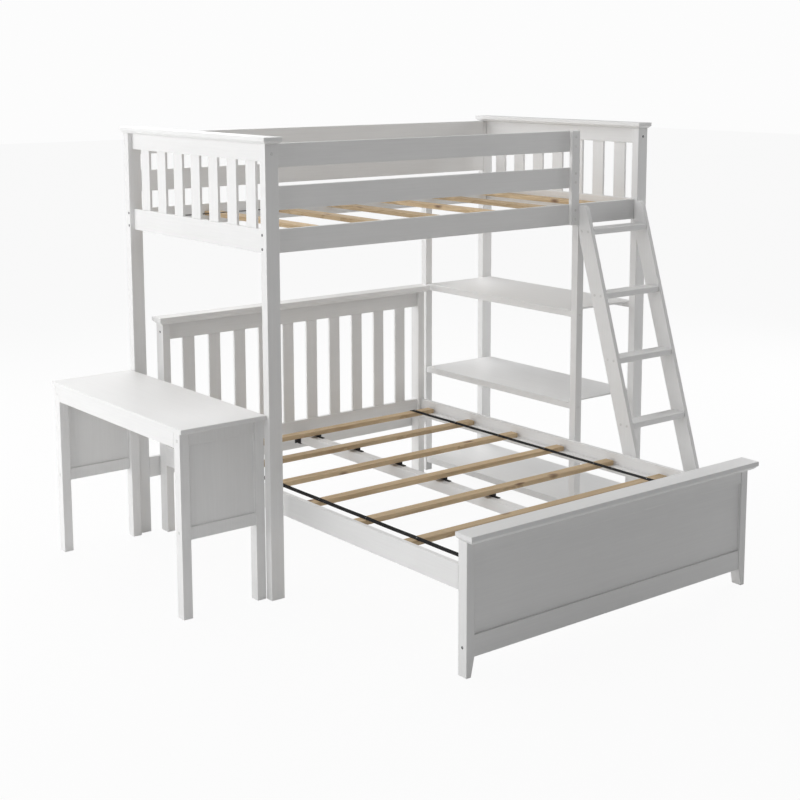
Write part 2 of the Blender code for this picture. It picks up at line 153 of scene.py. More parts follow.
class Bench:
    # where the nodes of one tree are laid out
    def __init__(self, tree):
        self.tree = tree

    def node(self, kind, settings=None, values=None, out=0):
        made = self.tree.nodes.new(kind)
        for name, value in (settings or {}).items():
            setattr(made, name, value)
        for key, value in (values or {}).items():
            feed(self.tree, pick(made.inputs, key), value)
        return Wire(self.tree, pick(made.outputs, out))

    def mix(self, amount, first, second, blend="MIX"):
        settings = {"data_type": "RGBA", "blend_type": blend, "clamp_factor": True}
        values = {"Factor": amount, "A": first, "B": second}
        return self.node("ShaderNodeMix", settings, values, "Result")

    def stretch(self, value, low, high, newLow=0.0, newHigh=1.0):
        values = {"Value": value, "From Min": low, "From Max": high, "To Min": newLow, "To Max": newHigh}
        return self.node("ShaderNodeMapRange", {"clamp": True}, values)

    def noise(self, vector, scale, detail=3.0, rough=0.5, distortion=0.0):
        values = {"Vector": vector, "Scale": scale, "Detail": detail, "Roughness": rough}
        values["Distortion"] = distortion
        return self.node("ShaderNodeTexNoise", {"noise_dimensions": "3D"}, values)

    def mapped(self, vector, scale=(1, 1, 1), turn=(0, 0, 0), place=(0, 0, 0)):
        values = {"Vector": vector, "Scale": scale, "Rotation": turn, "Location": place}
        return self.node("ShaderNodeMapping", None, values)


def surface(name):
    # an empty material: its bench, its shader and where it is in space
    made = bpy.data.materials.new(name)
    made.use_nodes = True
    shader = made.node_tree.nodes["Principled BSDF"]
    bench = Bench(made.node_tree)
    place = bench.node("ShaderNodeTexCoord", None, None, "Object")
    return made, bench, shader, place


def dress(bench, shader, looks):
    for key, value in looks.items():
        feed(bench.tree, pick(shader.inputs, key), value)


paintLook = {
    "fresh": (0.815, 0.814, 0.81, 1),
    "shaded": (0.765, 0.763, 0.76, 1),  # where the coat is a little thinner
    "rubbed": (0.87, 0.865, 0.85, 1),  # painted highlight: a lighter colour along the eased edges
    "roughness": (0.34, 0.50),
    "grainBump": 0.30,
    "stippleScale": 620.0,
    "grainAlong": 5.0,
    "grainAcross": 150.0,
}


def grainScale(axis, along=paintLook["grainAlong"], across=paintLook["grainAcross"]):
    return tuple(along if letter == axis else across for letter in "XYZ")


def paintedWood(name, axis, uprightAbove=None, uprightBelow=None):
    # satin paint over wood; between the two heights the grain stands upright
    made, bench, shader, place = surface(name)
    along = bench.noise(bench.mapped(place, grainScale(axis)), 1.0, 4.0, 0.62, 0.4)
    broad = bench.noise(bench.mapped(place, grainScale(axis, 1.6, 22.0)), 1.0, 3.0, 0.55, 0.3)
    if uprightAbove is not None:
        height = bench.node("ShaderNodeSeparateXYZ", None, {"Vector": place}, "Z")
        upright = (height > uprightAbove) * (1 - (height > uprightBelow))
        standing = bench.noise(bench.mapped(place, grainScale("Z")), 1.0, 4.0, 0.62, 0.4)
        along = along * (1 - upright) + standing * upright
    clouds = bench.noise(place, 3.2, 4.0, 0.6, 0.8)
    stipple = bench.noise(place, paintLook["stippleScale"], 2.0, 0.6)
    rounded = bench.node("ShaderNodeBevel", {"samples": 4}, {"Radius": 0.0022}, "Normal")
    flat = bench.node("ShaderNodeNewGeometry", None, None, "Normal")
    dotSettings = {"operation": "DOT_PRODUCT"}
    meets = bench.node("ShaderNodeVectorMath", dotSettings, {0: rounded, 1: flat}, "Value")
    # patchy mask of the eased edges: lower roughness there is real polish, the lighter colour is a
    # painted highlight
    edges = bench.stretch(meets, 0.995, 0.90) * bench.stretch(clouds, 0.40, 0.62)
    thin = bench.stretch(along, 0.34, 0.66) * 0.45 + bench.stretch(broad, 0.3, 0.7) * 0.25
    thin = thin + bench.stretch(clouds, 0.28, 0.72) * 0.3
    coat = bench.mix(thin, paintLook["shaded"], paintLook["fresh"])
    # painted highlight: the lighter colour mixed in along the edges
    coat = bench.mix(edges * 0.7, coat, paintLook["rubbed"])
    low, high = paintLook["roughness"]
    satin = bench.stretch(clouds, 0.3, 0.7, low, high) + along * 0.08 - edges * 0.08
    height = along * 0.7 + stipple * 0.3
    bumpValues = {"Height": height, "Strength": paintLook["grainBump"]}
    bumpValues.update({"Distance": 0.0006, "Normal": rounded})
    bump = bench.node("ShaderNodeBump", None, bumpValues)
    looks = {"Base Color": coat, "Roughness": satin, "Normal": bump}
    looks.update({"Coat Weight": 0.12, "Coat Roughness": 0.22, "IOR": 1.46})
    dress(bench, shader, looks)
    return made


pineLook = {
    "early": (0.66, 0.505, 0.325, 1),
    "late": (0.42, 0.285, 0.155, 1),
    "knot": (0.145, 0.062, 0.026, 1),
    "ringScale": 52.0,  # rings about 6 mm apart
    "pithBelow": 0.052,
    "seedStep": (1.7, 2.3, 0.009),  # how far one board's figure lies from the next one's
    "warp": (0.02, 0.02, 0.035),  # how far the rings stray from true circles
    "tones": (0.84, 1.12),  # darkest and lightest board
    "endGrain": (0.34, 0.19, 0.085, 1),
}


def sawnPine(name, axis):
    made, bench, shader, place = surface(name)
    seed = bench.node("ShaderNodeAttribute", {"attribute_name": "boardSeed"}, None, "Fac")
    step = pineLook["seedStep"]
    parts = {"X": seed * step[0], "Y": seed * step[1], "Z": seed * step[2]}
    apart = bench.node("ShaderNodeCombineXYZ", None, parts)
    place = bench.node("ShaderNodeVectorMath", {"operation": "ADD"}, {0: place, 1: apart}, "Vector")
    # growth rings round a pith that runs just off the board's own line
    turn = (0.012, 0.045, 0.0) if axis == "X" else (0.045, 0.012, 0.0)
    warp = bench.noise(bench.mapped(place, grainScale(axis, 2.2, 16.0)), 1.0, 3.0, 0.5)
    stray = {letter: warp * amount for letter, amount in zip("XYZ", pineLook["warp"])}
    shove = bench.node("ShaderNodeCombineXYZ", None, stray)
    bent = bench.node("ShaderNodeVectorMath", {"operation": "ADD"}, {0: place, 1: shove}, "Vector")
    pith = (0.0, -0.3, pineLook["pithBelow"]) if axis == "X" else (-0.3, 0.0, pineLook["pithBelow"])
    cells = bench.node("ShaderNodeVectorMath", {"operation": "ADD"}, {0: bent, 1: pith}, "Vector")
    ringSettings = {"wave_type": "RINGS", "rings_direction": axis, "wave_profile": "SAW"}
    ringValues = {"Vector": bench.mapped(cells, turn=turn), "Scale": pineLook["ringScale"]}
    ringValues.update({"Distortion": 2.2, "Detail": 2.0, "Detail Scale": 0.35, "Detail Roughness": 0.5})
    rings = bench.node("ShaderNodeTexWave", ringSettings, ringValues, 1)
    fibres = bench.noise(bench.mapped(place, grainScale(axis, 6.0, 420.0)), 1.0, 3.0, 0.6)
    streaks = bench.noise(bench.mapped(place, grainScale(axis, 1.4, 55.0)), 1.0, 4.0, 0.6, 0.5)
    spotted = bench.mapped(place, grainScale(axis, 4.5, 11.0))
    knotValues = {"Vector": spotted, "Scale": 1.0}
    knots = bench.node("ShaderNodeTexVoronoi", {"feature": "F1"}, knotValues, "Distance")
    knot = bench.stretch(knots, 0.16, 0.07)
    dark = bench.stretch(rings, 0.35, 0.95) * 0.52 + bench.stretch(streaks, 0.38, 0.64) * 0.42
    dark = dark + bench.stretch(fibres, 0.35, 0.7) * 0.22
    wood = bench.mix(dark, pineLook["early"], pineLook["late"])
    tone = bench.noise(bench.mapped(apart, (3.1, 1.7, 1.0)), 1.0, 0.0)
    tone = bench.stretch(tone, 0.3, 0.7, *pineLook["tones"])
    toned = bench.node("ShaderNodeCombineColor", None, {"Red": tone, "Green": tone, "Blue": tone * 0.98})
    wood = bench.mix(1.0, wood, toned, "MULTIPLY")
    wood = bench.mix(knot * 0.85, wood, pineLook["knot"])
    normal = bench.node("ShaderNodeNewGeometry", None, None, "Normal")
    facing = bench.node("ShaderNodeSeparateXYZ", None, {"Vector": normal}, axis)
    ends = bench.stretch(facing * facing, 0.6, 0.9)
    wood = bench.mix(ends * 0.55, wood, pineLook["endGrain"])
    rough = bench.stretch(rings, 0.0, 1.0, 0.70, 0.52) - knot * 0.12
    height = fibres * 0.5 + rings * 0.3 + knot * 0.3
    rounded = bench.node("ShaderNodeBevel", {"samples": 4}, {"Radius": 0.0015}, "Normal")
    bumpValues = {"Height": height, "Strength": 0.45, "Distance": 0.0009, "Normal": rounded}
    bump = bench.node("ShaderNodeBump", None, bumpValues)
    dress(bench, shader, {"Base Color": wood, "Roughness": rough, "Normal": bump, "IOR": 1.5})
    return made


weaveLook = {"thread": 0.0011, "dark": (0.0015, 0.0015, 0.0018, 1), "light": (0.009, 0.009, 0.010, 1)}


def wovenTape(name, axis):
    # flat woven tape: ribs across it and a chain of threads along it
    made, bench, shader, place = surface(name)
    pitch = 2 * math.pi / (20 * weaveLook["thread"] * 2)
    other = "Y" if axis == "X" else "X"
    bands = {"wave_type": "BANDS", "wave_profile": "SIN"}
    bandValues = {"Vector": place, "Scale": pitch}
    along = bench.node("ShaderNodeTexWave", dict(bands, bands_direction=axis), bandValues, 1)
    over = bench.node("ShaderNodeTexWave", dict(bands, bands_direction=other), bandValues, 1)
    checks = along * over + (1 - along) * (1 - over)
    fluff = bench.noise(place, 900.0, 3.0, 0.7)
    worn = bench.noise(place, 14.0, 3.0, 0.6)
    shade = checks * 0.55 + bench.stretch(worn, 0.4, 0.7) * 0.3 + fluff * 0.2
    colour = bench.mix(shade, weaveLook["dark"], weaveLook["light"])
    rough = bench.stretch(worn, 0.3, 0.7, 0.72, 0.92)
    bumpValues = {"Height": checks + fluff * 0.3, "Strength": 0.7, "Distance": 0.0004}
    bump = bench.node("ShaderNodeBump", None, bumpValues)
    looks = {"Base Color": colour, "Roughness": rough, "Normal": bump, "Specular IOR Level": 0.22}
    dress(bench, shader, looks)
    return made


def darkSteel(name, colour=(0.055, 0.055, 0.06), metal=0.9, rough=(0.32, 0.55)):
    made, bench, shader, place = surface(name)
    spots = bench.noise(place, 260.0, 4.0, 0.65)
    wear = bench.noise(place, 45.0, 3.0, 0.6, 0.5)
    rubbed = tuple(min(1.0, part * 2.2) for part in colour)
    tone = bench.mix(bench.stretch(wear, 0.42, 0.68), (*colour, 1), (*rubbed, 1))
    rounded = bench.node("ShaderNodeBevel", {"samples": 4}, {"Radius": 0.0004}, "Normal")
    bumpValues = {"Height": spots, "Strength": 0.2, "Distance": 0.0003, "Normal": rounded}
    bump = bench.node("ShaderNodeBump", None, bumpValues)
    roughness = bench.stretch(wear, 0.3, 0.7, rough[1], rough[0]) + spots * 0.06
    dress(bench, shader, {"Base Color": tone, "Roughness": roughness, "Metallic": metal, "Normal": bump})
    return made


def mouldedPlastic(name, colour, rough):
    made, bench, shader, place = surface(name)
    pebble = bench.noise(place, 700.0, 2.0, 0.6)
    haze = bench.noise(place, 30.0, 3.0, 0.6)
    dull = tuple(part * 0.78 for part in colour)
    tone = bench.mix(bench.stretch(haze, 0.3, 0.7), (*dull, 1), (*colour, 1))
    rounded = bench.node("ShaderNodeBevel", {"samples": 4}, {"Radius": 0.0006}, "Normal")
    bumpValues = {"Height": pebble, "Strength": 0.3, "Distance": 0.0004, "Normal": rounded}
    bump = bench.node("ShaderNodeBump", None, bumpValues)
    roughness = bench.stretch(haze, 0.3, 0.7, rough - 0.06, rough + 0.08) + pebble * 0.05
    dress(bench, shader, {"Base Color": tone, "Roughness": roughness, "Normal": bump})
    return made


paints = {axis: paintedWood(f"white_satin_{axis.lower()}", axis) for axis in "XYZ"}
pines = {axis: sawnPine(f"sawn_pine_{axis.lower()}", axis) for axis in "XY"}
tapes = {axis: wovenTape(f"woven_tape_{axis.lower()}", axis) for axis in "XY"}
boltSteel = darkSteel("blackened_steel")
stapleWire = darkSteel("staple_wire", (0.42, 0.42, 0.43), 1.0, (0.25, 0.4))
blackRubber = mouldedPlastic("black_rubber", (0.02, 0.02, 0.022), 0.62)
whiteCap = mouldedPlastic("white_cap", (0.78, 0.775, 0.765), 0.38)
print("finishes made")


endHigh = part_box("near_end_panel")[1]
sideLow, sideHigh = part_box("loft_side_rail_front")
endTopRail = 0.068
headTopRail = 0.071
headLow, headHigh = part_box("headboard_panel")
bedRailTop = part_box("full_side_rail_left")[1].z
endPaint = paintedWood("white_satin_end_panel", "Y", sideHigh.z, endHigh.z - endTopRail)
headPaint = paintedWood("white_satin_headboard", "X", bedRailTop, headHigh.z - headTopRail)
pineNodes = ["loft_slat_roll"] + [f"full_slat_{i + 1}" for i in range(7)]
for name, node in frame["nodes"].items():
    if name in pineNodes:
        continue
    nodeLow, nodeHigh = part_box(name)
    size = nodeHigh - nodeLow
    longest = "XYZ"[max(range(3), key=lambda k: size[k])]
    paint = paints[longest]
    if name.endswith("_end_panel"):
        paint = endPaint
    elif name == "headboard_panel":
        paint = headPaint
    elif name.startswith("ladder_rail"):
        paint = paints["Z"]
    node.data.materials.clear()
    node.data.materials.append(paint)
print("boards painted")


def shapeOf(bm, name, finish=None):
    mesh = bpy.data.meshes.new(name)
    bmesh.ops.recalc_face_normals(bm, faces=bm.faces[:])
    bm.to_mesh(mesh)
    bm.free()
    if finish:
        mesh.materials.append(finish)
    made = bpy.data.objects.new(name, mesh)
    scene.collection.objects.link(made)
    return made


def easedBlock(name, size, edge, finish, cuts=0, steps=2):
    # a board with rounded arrises, cut across its longest side
    bm = bmesh.new()
    bmesh.ops.create_cube(bm, size=1.0)
    bmesh.ops.scale(bm, vec=size, verts=bm.verts)
    bmesh.ops.bevel(bm, geom=bm.edges[:], offset=edge, segments=steps, profile=0.5, affect="EDGES")
    if cuts:
        longest = max(range(3), key=lambda k: size[k])
        normal = Vector([1.0 if k == longest else 0.0 for k in range(3)])
        for i in range(1, cuts):
            middle = normal * (i / cuts - 0.5) * (size[longest] - 4 * edge)
            parts = bm.verts[:] + bm.edges[:] + bm.faces[:]
            bmesh.ops.bisect_plane(bm, geom=parts, plane_co=middle, plane_no=normal)
    return shapeOf(bm, name, finish)


def turned(name, rings, finish, sides=24):
    # rings of (radius, height, 1 if six-sided), from the outside in
    bm = bmesh.new()
    loops = []
    for radius, height, sixSided in rings:
        loop = []
        for i in range(sides):
            angle = 2 * math.pi * i / sides
            reach = radius
            if sixSided:
                reach = radius / math.cos((angle % (math.pi / 3)) - math.pi / 6)
            loop.append(bm.verts.new((reach * math.cos(angle), reach * math.sin(angle), height)))
        loops.append(loop)
    for outer, inner in zip(loops, loops[1:]):
        for i in range(sides):
            k = (i + 1) % sides
            bm.faces.new((outer[i], outer[k], inner[k], inner[i]))
    bm.faces.new(loops[0])
    bm.faces.new(loops[-1])
    return shapeOf(bm, name, finish)


def newTree(name, sockets):
    tree = bpy.data.node_groups.new(name, "GeometryNodeTree")
    tree.interface.new_socket("Geometry", in_out="OUTPUT", socket_type="NodeSocketGeometry")
    tree.interface.new_socket("Geometry", in_out="INPUT", socket_type="NodeSocketGeometry")
    for label, kind in sockets.items():
        tree.interface.new_socket(label, in_out="INPUT", socket_type=kind)
    given = tree.nodes.new("NodeGroupInput")
    wires = {slot.name: Wire(tree, slot) for slot in given.outputs if slot.name}
    return Bench(tree), wires


def endTree(bench, shape, finish):
    whole = bench.node("GeometryNodeRealizeInstances", None, {"Geometry": shape}, "Geometry")
    coatedValues = {"Geometry": whole, "Material": finish}
    coated = bench.node("GeometryNodeSetMaterial", None, coatedValues, "Geometry")
    last = bench.tree.nodes.new("NodeGroupOutput")
    bench.tree.links.new(coated.socket, last.inputs[0])


def grow(name, bench, values, host=None):
    # runs a tree on a host mesh and keeps the result as a plain mesh
    made = bpy.data.objects.new(name, host or bpy.data.meshes.new(name))
    scene.collection.objects.link(made)
    step = made.modifiers.new("grow", "NODES")
    step.node_group = bench.tree
    for item in bench.tree.interface.items_tree:
        if item.in_out == "INPUT" and item.name in values:
            step[item.identifier] = values[item.name]
    graph = bpy.context.evaluated_depsgraph_get()
    shaped = made.evaluated_get(graph)
    final = bpy.data.meshes.new_from_object(shaped, preserve_all_data_layers=True, depsgraph=graph)
    made.modifiers.clear()
    made.data = final
    return made


def runOfBoards():
    # equal boards in a row, each a hair off true, with its own figure
    kinds = {"Board": "NodeSocketObject", "Count": "NodeSocketInt", "First": "NodeSocketVector"}
    kinds.update({"Step": "NodeSocketVector", "Crook": "NodeSocketFloat", "Seed": "NodeSocketInt"})
    kinds["Finish"] = "NodeSocketMaterial"
    bench, given = newTree("run_of_boards", kinds)
    lineValues = {"Count": given["Count"], "Start Location": given["First"], "Offset": given["Step"]}
    line = bench.node("GeometryNodeMeshLine", {"mode": "OFFSET"}, lineValues, "Mesh")
    one = bench.node("GeometryNodeObjectInfo", None, {"Object": given["Board"]}, "Geometry")
    swayValues = {0: (0.0, 0.0, -0.0016), 1: (0.0, 0.0, 0.0016), "Seed": given["Seed"]}
    sway = bench.node("FunctionNodeRandomValue", {"data_type": "FLOAT_VECTOR"}, swayValues, 0)
    rowValues = {"Points": line, "Instance": one, "Rotation": sway}
    row = bench.node("GeometryNodeInstanceOnPoints", None, rowValues)
    seedValues = {2: 0.0, 3: 9.0, "Seed": given["Seed"]}
    seed = bench.node("FunctionNodeRandomValue", {"data_type": "FLOAT"}, seedValues, 1)
    storeSettings = {"data_type": "FLOAT", "domain": "INSTANCE"}
    storeValues = {"Geometry": row, "Name": "boardSeed", "Value": seed}
    marked = bench.node("GeometryNodeStoreNamedAttribute", storeSettings, storeValues, "Geometry")
    whole = bench.node("GeometryNodeRealizeInstances", None, {"Geometry": marked}, "Geometry")
    place = bench.node("GeometryNodeInputPosition", None, None, 0)
    waves = bench.noise(place, 2.3, 1.0, 0.4)
    lift = bench.node("ShaderNodeCombineXYZ", None, {"Z": (waves - 0.5) * given["Crook"]})
    bowed = bench.node("GeometryNodeSetPosition", None, {"Geometry": whole, "Offset": lift}, "Geometry")
    endTree(bench, bowed, given["Finish"])
    return bench


def scatterOfParts():
    # one small part on every point of the host, along its aim, turned at random
    kinds = {"Part": "NodeSocketObject", "Spin": "NodeSocketFloat", "Seed": "NodeSocketInt"}
    kinds["Finish"] = "NodeSocketMaterial"
    bench, given = newTree("scatter_of_parts", kinds)
    one = bench.node("GeometryNodeObjectInfo", None, {"Object": given["Part"]}, "Geometry")
    aimSettings = {"data_type": "FLOAT_VECTOR"}
    aim = bench.node("GeometryNodeInputNamedAttribute", aimSettings, {"Name": "aim"}, "Attribute")
    face = bench.node("FunctionNodeAlignRotationToVector", {"axis": "Z"}, {"Vector": aim}, "Rotation")
    rowValues = {"Points": given["Geometry"], "Instance": one, "Rotation": face}
    row = bench.node("GeometryNodeInstanceOnPoints", None, rowValues)
    angleValues = {2: 0.0, 3: 1.0, "Seed": given["Seed"]}
    angle = bench.node("FunctionNodeRandomValue", {"data_type": "FLOAT"}, angleValues, 1)
    turn = bench.node("ShaderNodeCombineXYZ", None, {"Z": angle * given["Spin"]})
    spunValues = {"Instances": row, "Rotation": turn, "Local Space": True}
    spun = bench.node("GeometryNodeRotateInstances", None, spunValues)
    endTree(bench, spun, given["Finish"])
    return bench


def hostOf(points):
    # points: (place, aim)
    mesh = bpy.data.meshes.new("host")
    mesh.from_pydata([place for place, _ in points], [], [])
    aims = mesh.attributes.new("aim", "FLOAT_VECTOR", "POINT")
    for slot, (_, aim) in zip(aims.data, points):
        slot.vector = aim
    return mesh


boardRun = runOfBoards()
partScatter = scatterOfParts()


def scatter(name, part, finish, points, body, seed=1, spin=2 * math.pi):
    values = {"Part": part, "Spin": spin, "Seed": seed, "Finish": finish}
    made = grow(name, partScatter, values, hostOf(points))
    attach(made, body)
    return made


loftSlats = {"count": 7, "width": 0.066, "thick": 0.0185, "edge": 0.0025, "crook": 0.0012, "seed": 4}
rollLow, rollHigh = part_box("loft_slat_roll")
middleY = (rollLow.y + rollHigh.y) / 2
size = (loftSlats["width"], rollHigh.y - rollLow.y, loftSlats["thick"])
pattern = easedBlock("slat_pattern", size, loftSlats["edge"], pines["Y"], 22)
loftPitch = (rollHigh.x - rollLow.x - loftSlats["width"]) / (loftSlats["count"] - 1)
slatMiddleZ = rollLow.z + loftSlats["thick"] / 2
values = {
    "Board": pattern,
    "Count": loftSlats["count"],
    "First": (rollLow.x + loftSlats["width"] / 2, middleY, slatMiddleZ),
    "Step": (loftPitch, 0.0, 0.0),
    "Crook": loftSlats["crook"],
    "Seed": loftSlats["seed"],
    "Finish": pines["Y"],
}
loftRow = grow("loft_slats", boardRun, values)
bpy.data.objects.remove(pattern)
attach(loftRow, "loft")
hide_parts("loft_slat_roll")

bedSlats = {"count": 7, "edge": 0.0025, "crook": 0.0010, "seed": 11}
firstLow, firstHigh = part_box("full_slat_1")
lastLow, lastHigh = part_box(f"full_slat_{bedSlats['count']}")
size = firstHigh - firstLow
pattern = easedBlock("slat_pattern", size, bedSlats["edge"], pines["X"], 26)
firstMiddle = (firstLow + firstHigh) / 2
lastMiddle = (lastLow + lastHigh) / 2
values = {
    "Board": pattern,
    "Count": bedSlats["count"],
    "First": tuple(firstMiddle),
    "Step": tuple((lastMiddle - firstMiddle) / (bedSlats["count"] - 1)),
    "Crook": bedSlats["crook"],
    "Seed": bedSlats["seed"],
    "Finish": pines["X"],
}
bedRow = grow("full_slats", boardRun, values)
bpy.data.objects.remove(pattern)
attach(bedRow, "full_bed")
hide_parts(*[f"full_slat_{i + 1}" for i in range(bedSlats["count"])])
print("slats laid")


tapeCut = {
    "width": 0.028,
    "thick": 0.0012,
    "lift": 0.0009,
    "sag": 0.0009,
    "wrap": 0.017,  # down the outer edge of the lower bed's end slats
    "corner": 0.0012,
    "short": 0.004,  # loft's tapes stop this far inside the roll
    "trim": 0.003,
    "loftInset": 0.110,
}


def tapeRun(name, path, across, finish):
    # a flat tape on a path, with rounded selvedges
    half = tapeCut["width"] / 2
    thick = tapeCut["thick"] / 2
    outline = [(-half, 0), (-half * 0.97, thick * 0.7), (-half * 0.9, thick), (0, thick)]
    outline += [(half * 0.9, thick)]
    outline += [(half * 0.97, thick * 0.7), (half, 0), (half * 0.97, -thick * 0.7), (half * 0.9, -thick)]
    outline += [(0, -thick), (-half * 0.9, -thick), (-half * 0.97, -thick * 0.7)]
    bm = bmesh.new()
    loops = []
    for i, point in enumerate(path):
        ahead = (path[min(i + 1, len(path) - 1)] - path[max(i - 1, 0)]).normalized()
        up = across.cross(ahead).normalized()
        loops.append([bm.verts.new(point + across * side + up * height) for side, height in outline])
    for first, second in zip(loops, loops[1:]):
        for i in range(len(outline)):
            k = (i + 1) % len(outline)
            bm.faces.new((first[i], first[k], second[k], second[i]))
    bm.faces.new(loops[0])
    bm.faces.new(loops[-1])
    made = shapeOf(bm, name, finish)
    length = sum((b - a).length for a, b in zip(path, path[1:]))
    return made, length


def overSlats(rests, start, end, top):
    # stations along a tape: on each slat it lies flat, between them it hangs a little
    marks = [(start, 0.0)]
    edges = [start]
    for low, high in rests:
        edges += [low, high]
    edges.append(end)
    for i in range(0, len(edges), 2):
        low, high = edges[i], edges[i + 1]
        for k in range(1, 9):
            share = k / 8
            deep = tapeCut["sag"] * 4 * share * (1 - share) * min(1.0, abs(high - low) / 0.2)
            marks.append((low + (high - low) * share, -deep))
    return [(place, top + drop) for place, drop in marks]


def withoutRepeats(path):
    return [p for i, p in enumerate(path) if i == 0 or (p - path[i - 1]).length > 1e-4]


tapeTop = rollLow.z + loftSlats["thick"] + tapeCut["lift"]
rests = []
for i in range(loftSlats["count"]):
    start = rollLow.x + i * loftPitch
    rests.append((start, start + loftSlats["width"]))
staplePoints = []
inset, short, trim = tapeCut["loftInset"], tapeCut["short"], tapeCut["trim"]
for side, y in (("front", rollLow.y + inset), ("back", rollHigh.y - inset)):
    marks = overSlats(rests, rollLow.x + short, rollHigh.x - short, tapeTop)
    marks = [m for m in marks if rollLow.x + trim <= m[0] <= rollHigh.x - trim]
    marks.sort()
    path = [Vector((x, y, z)) for x, z in marks]
    path = withoutRepeats(path)
    tape, length = tapeRun(f"loft_tape_{side}", path, Vector((0, 1, 0)), tapes["X"])
    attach(tape, "loft")
    for low, high in rests:
        for share in (0.3, 0.7):
            place = (low + (high - low) * share, y, tapeTop + tapeCut["thick"] / 2)
            staplePoints.append((place, (0, 0, 1)))

bedTapes = {"left": 0.1135, "right": 0.1305}  # from the inner faces of the posts to the tapes' middles
bedTop = firstHigh.z + tapeCut["lift"]
bedStaples = []
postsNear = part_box("headboard_post_left")[0].x
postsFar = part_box("headboard_post_right")[1].x
pitchY = (lastMiddle.y - firstMiddle.y) / (bedSlats["count"] - 1)
halfSlat = size.y / 2
rests = []
for i in range(bedSlats["count"] - 1, -1, -1):
    middle = firstMiddle.y + i * pitchY
    rests.append((middle - halfSlat, middle + halfSlat))
for side, x in (("left", postsNear + bedTapes["left"]), ("right", postsFar - bedTapes["right"])):
    frontEdge, backEdge = rests[0][0] - tapeCut["lift"], rests[-1][1] + tapeCut["lift"]
    corner, foot = tapeCut["corner"], bedTop - tapeCut["wrap"]
    marks = overSlats(rests, frontEdge + corner, backEdge - corner, bedTop)
    path = [Vector((x, frontEdge, foot)), Vector((x, frontEdge, bedTop - corner))]
    path += [Vector((x, y, z)) for y, z in marks]
    path += [Vector((x, backEdge, bedTop - corner)), Vector((x, backEdge, foot))]
    path = withoutRepeats(path)
    tape, length = tapeRun(f"full_bed_tape_{side}", path, Vector((-1, 0, 0)), tapes["Y"])
    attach(tape, "full_bed")
    for low, high in rests:
        bedStaples.append(((x, (low + high) / 2, bedTop + tapeCut["thick"] / 2), (0, 0, 1)))
print("tapes stretched")


stapleSize = {"crown": 0.010, "wire": 0.0011, "leg": 0.002, "shoulder": 0.0006}


def stapleShape():
    # the crown of a wire staple, with its two bent shoulders
    bm = bmesh.new()
    half = stapleSize["crown"] / 2
    wire = stapleSize["wire"] / 2
    leg, bend = stapleSize["leg"], stapleSize["shoulder"]
    line = [(-half, -leg), (-half, 0.0), (-half + bend, bend), (half - bend, bend)]
    line += [(half, 0.0), (half, -leg)]
    loops = []
    for i, (x, z) in enumerate(line):
        before = Vector(line[max(i - 1, 0)])
        after = Vector(line[min(i + 1, len(line) - 1)])
        ahead = (after - before).normalized()
        out = Vector((-ahead.y, ahead.x))
        loop = []
        for k in range(6):
            angle = math.pi * k / 3
            push = out * (wire * math.cos(angle))
            loop.append(bm.verts.new((x + push.x, wire * math.sin(angle), z + push.y)))
        loops.append(loop)
    for first, second in zip(loops, loops[1:]):
        for i in range(6):
            k = (i + 1) % 6
            bm.faces.new((first[i], first[k], second[k], second[i]))
    bm.faces.new(loops[0])
    bm.faces.new(loops[-1])
    return shapeOf(bm, "staple_pattern")


staple = stapleShape()
scatter("loft_staples", staple, stapleWire, staplePoints, "loft", 3, 0.5)
scatter("full_bed_staples", staple, stapleWire, bedStaples, "full_bed", 5, 0.5)
bpy.data.objects.remove(staple)

boltHead = [(0.0050, -0.0012, 0), (0.0050, 0.0004, 0), (0.0046, 0.0009, 0), (0.0032, 0.0013, 0)]
boltHead += [(0.0023, 0.0012, 1), (0.0021, 0.0008, 1), (0.0020, -0.0009, 1)]
bolt = turned("bolt_pattern", boltHead, boltSteel)
capHead = [(0.0062, -0.0010, 0), (0.0062, 0.0004, 0), (0.0054, 0.0011, 0)]
capHead += [(0.0036, 0.0016, 0), (0.0012, 0.0018, 0)]
cap = turned("cap_pattern", capHead, whiteCap, 20)


def centre(name):
    low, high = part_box(name)
    return (low + high) / 2


# half the distance between two bolts of a pair, and where single ones sit
boltSpots = {"rail": 0.0265, "stretcher": 0.022, "endRailShare": 0.55, "footRailUp": 0.036}
loftBolts = []
railLine = (sideLow.y + sideHigh.y) / 2
backLine = centre("loft_side_rail_back").y
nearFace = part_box("loft_post_near_front")[0].x
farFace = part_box("loft_post_far_front")[1].x
for y in (railLine, backLine):
    for face, aim in ((nearFace, -1), (farFace, 1)):
        z = centre("loft_side_rail_front").z
        loftBolts.append(((face, y, z + boltSpots["rail"]), (aim, 0, 0)))
        loftBolts.append(((face, y, z - boltSpots["rail"]), (aim, 0, 0)))
stretcher = centre("back_stretcher")
for dz in (boltSpots["stretcher"], -boltSpots["stretcher"]):
    loftBolts.append(((nearFace, backLine, stretcher.z + dz), (-1, 0, 0)))
endCaps = []
endSides = ((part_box("loft_post_near_front")[0].y, -1), (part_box("loft_post_near_back")[1].y, 1))
for endName in ("near", "far"):
    x = centre(f"loft_post_{endName}_front").x
    for face, aim in endSides:
        spot = ((x, face, endHigh.z - endTopRail * boltSpots["endRailShare"]), (0, aim, 0))
        (loftBolts if endName == "far" else endCaps).append(spot)
scatter("loft_bolts", bolt, boltSteel, loftBolts, "loft", 7)

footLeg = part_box("footboard_post_left")
headTop = headHigh.z - headTopRail / 2
footMiddle = (footLeg[0].y + footLeg[1].y) / 2
headMiddle = centre("headboard_panel").y
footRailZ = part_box("footboard_panel")[0].z + boltSpots["footRailUp"]
bedBolts = []
for x, aim in ((postsNear, -1), (postsFar, 1)):
    bedBolts.append(((x, headMiddle, headTop), (aim, 0, 0)))
    bedBolts.append(((x, footMiddle, footRailZ), (aim, 0, 0)))
scatter("full_bed_bolts", bolt, boltSteel, bedBolts, "full_bed", 8)

